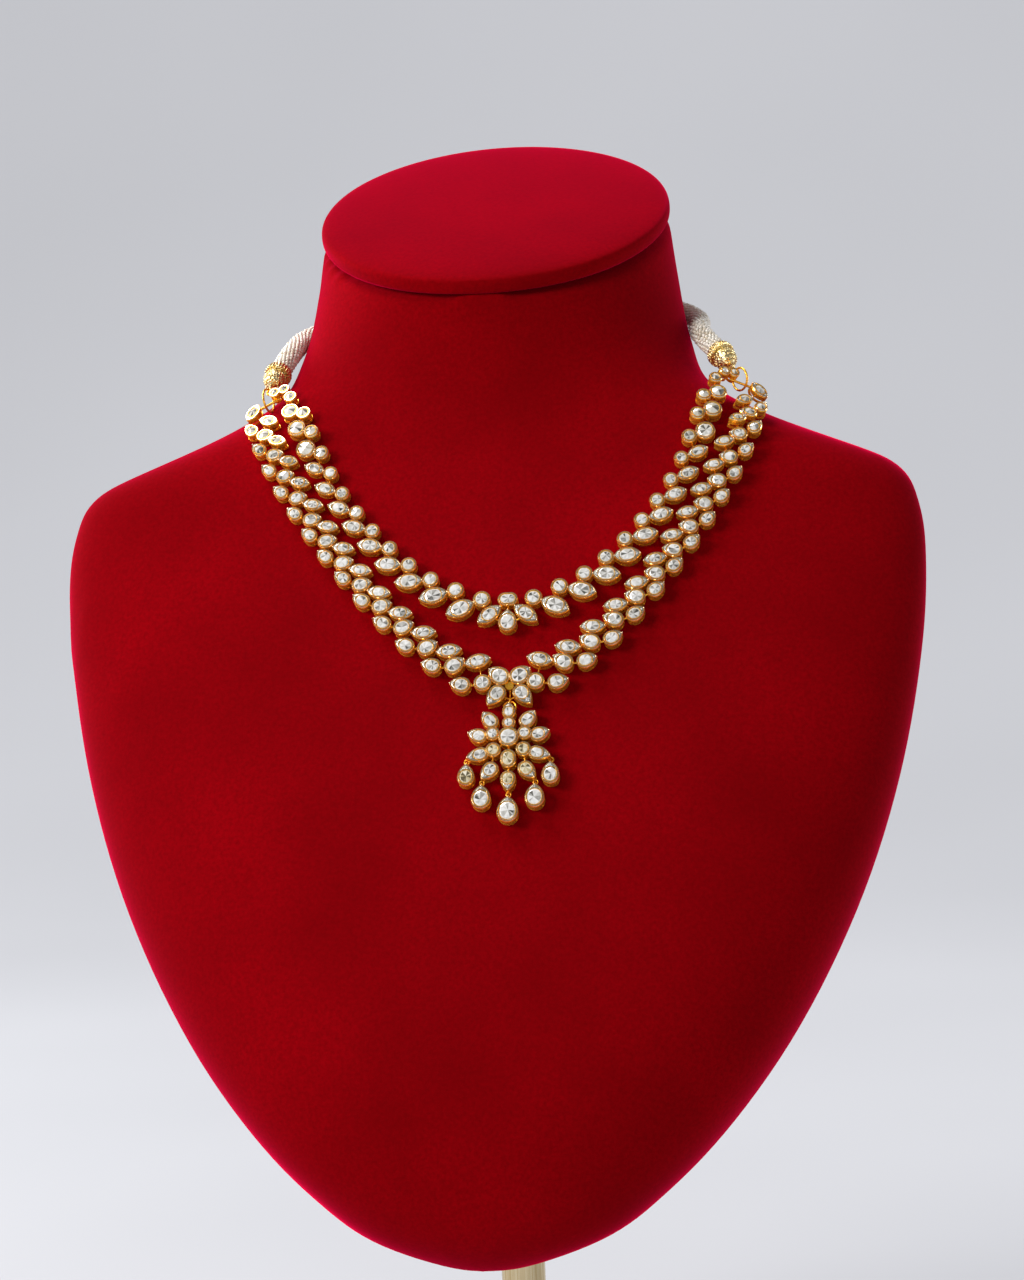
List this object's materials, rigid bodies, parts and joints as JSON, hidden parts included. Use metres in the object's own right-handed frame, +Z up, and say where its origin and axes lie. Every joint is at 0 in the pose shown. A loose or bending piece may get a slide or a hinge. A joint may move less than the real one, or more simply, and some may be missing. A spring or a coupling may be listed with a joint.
{
  "type": "kundan necklace on a velvet neck bust",
  "caption": "Two-strand kundan necklace with a lotus pendant and drops, lying on a plain red velvet neck bust on a round foot.",
  "frame": {"origin": "middle of the bounding box on the underside of the round foot", "axes": "+Z up, the bust faces -Y, +X to the right as seen from the front"},
  "size_m": [0.311, 0.2305, 0.4557],
  "materials": {
    "velvet": "short-pile velvet",
    "gold": "polished yellow gold",
    "polki": "polished uncut diamond",
    "pearl": "pearl lustre",
    "chrome": "polished"
  },
  "bodies": {
    "bust_and_necklace": {"base_plate": "chrome", "post": "chrome", "bust_body": "velvet", "neck_cap": "velvet", "inner_links_left": "gold", "outer_links_left": "gold", "inner_stones_left": "polki", "outer_stones_left": "polki", "end_bar_left": "gold", "end_rings_left": "gold", "ball_cap_left": "gold", "bead_rope_left": "pearl", "inner_links_right": "gold", "outer_links_right": "gold", "inner_stones_right": "polki", "outer_stones_right": "polki", "end_bar_right": "gold", "end_rings_right": "gold", "ball_cap_right": "gold", "bead_rope_right": "pearl", "clasp": "gold", "inner_centre": "gold", "outer_centre": "gold", "inner_centre_stone_1": "polki", "outer_centre_stone_1": "polki", "inner_centre_stone_2": "polki", "outer_centre_stone_2": "polki", "inner_centre_stone_3": "polki", "outer_centre_stone_3": "polki", "inner_centre_stone_4": "polki", "outer_centre_stone_4": "polki"},
    "pendant": {"pendant_frame": "gold", "pendant_stone": "polki", "ring_stone_1": "polki", "ring_stone_2": "polki", "ring_stone_3": "polki", "ring_stone_4": "polki", "ring_stone_5": "polki", "ring_stone_6": "polki", "petal_stone_1": "polki", "petal_stone_2": "polki", "petal_stone_3": "polki", "petal_stone_4": "polki", "petal_stone_5": "polki", "petal_stone_6": "polki", "petal_stone_7": "polki", "petal_stone_8": "polki", "petal_stone_9": "polki", "petal_stone_10": "polki", "drop_1": "gold", "drop_stone_1": "polki", "drop_2": "gold", "drop_stone_2": "polki", "drop_3": "gold", "drop_stone_3": "polki", "drop_4": "gold", "drop_stone_4": "polki", "drop_5": "gold", "drop_stone_5": "polki"}
  },
  "joints": [
    {"name": "pendant_swing", "type": "hinge", "parent": "bust_and_necklace", "child": "pendant", "pos_m": [0.01098, -0.05609, 0.25052], "axis": [-1, -0.0044, 0], "range_deg": [0, 75]}
  ]
}
